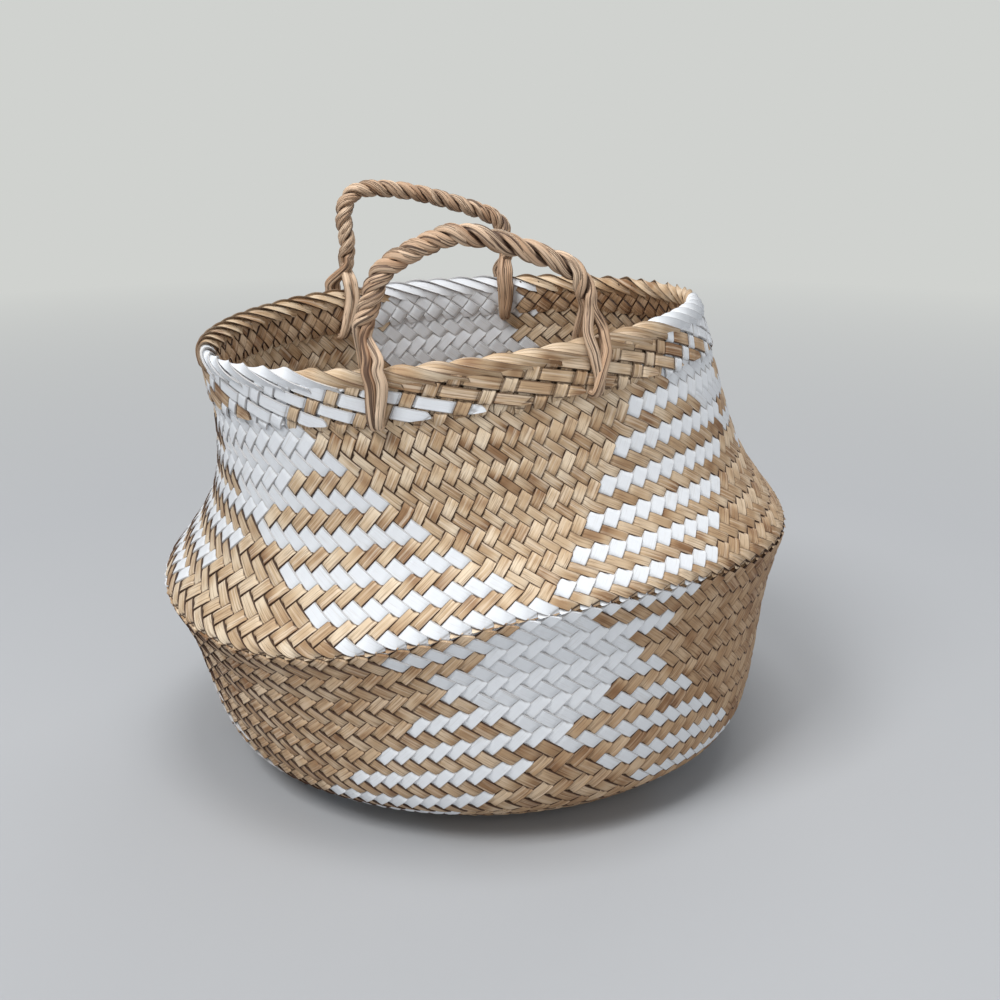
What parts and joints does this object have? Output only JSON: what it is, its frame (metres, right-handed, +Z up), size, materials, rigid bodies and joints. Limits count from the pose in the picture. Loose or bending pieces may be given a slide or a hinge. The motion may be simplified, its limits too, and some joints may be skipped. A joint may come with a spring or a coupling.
{
  "type": "belly basket",
  "caption": "Slouched woven seagrass belly basket with a folded waist, a turned-down rim and swinging twisted rope handles threaded under the rim.",
  "frame": {"origin": "centre of the flat woven bottom, on the surface that the basket stands on", "axes": "+Z up, front towards -Y, so one handle is in front and one at the back"},
  "size_m": [0.3009, 0.2968, 0.2629],
  "materials": {
    "body_weave": "matte",
    "rim_weave": "matte",
    "rope": "matte"
  },
  "bodies": {
    "basket": {"woven_base": "body_weave", "lower_wall": "body_weave", "upper_wall": "body_weave", "rim_band_outer": "rim_weave", "rim_band_inner": "rim_weave", "rim_edge": "rim_weave", "front_left_strand_a": "rope", "front_left_strand_b": "rope", "front_right_strand_a": "rope", "front_right_strand_b": "rope", "rear_left_strand_a": "rope", "rear_left_strand_b": "rope", "rear_right_strand_a": "rope", "rear_right_strand_b": "rope"},
    "front_handle": {"front_handle_ply_a": "rope", "front_handle_ply_b": "rope"},
    "rear_handle": {"rear_handle_ply_a": "rope", "rear_handle_ply_b": "rope"}
  },
  "joints": [
    {"name": "front_handle_swing", "type": "hinge", "parent": "basket", "child": "front_handle", "pos_m": [-0.00217, -0.10762, 0.22013], "axis": [0.9733, 0.2097, 0.0929], "range_deg": [-100, 100]},
    {"name": "rear_handle_swing", "type": "hinge", "parent": "basket", "child": "rear_handle", "pos_m": [-0.03265, 0.10604, 0.21419], "axis": [-0.9746, -0.22, -0.0425], "range_deg": [-100, 100]}
  ]
}
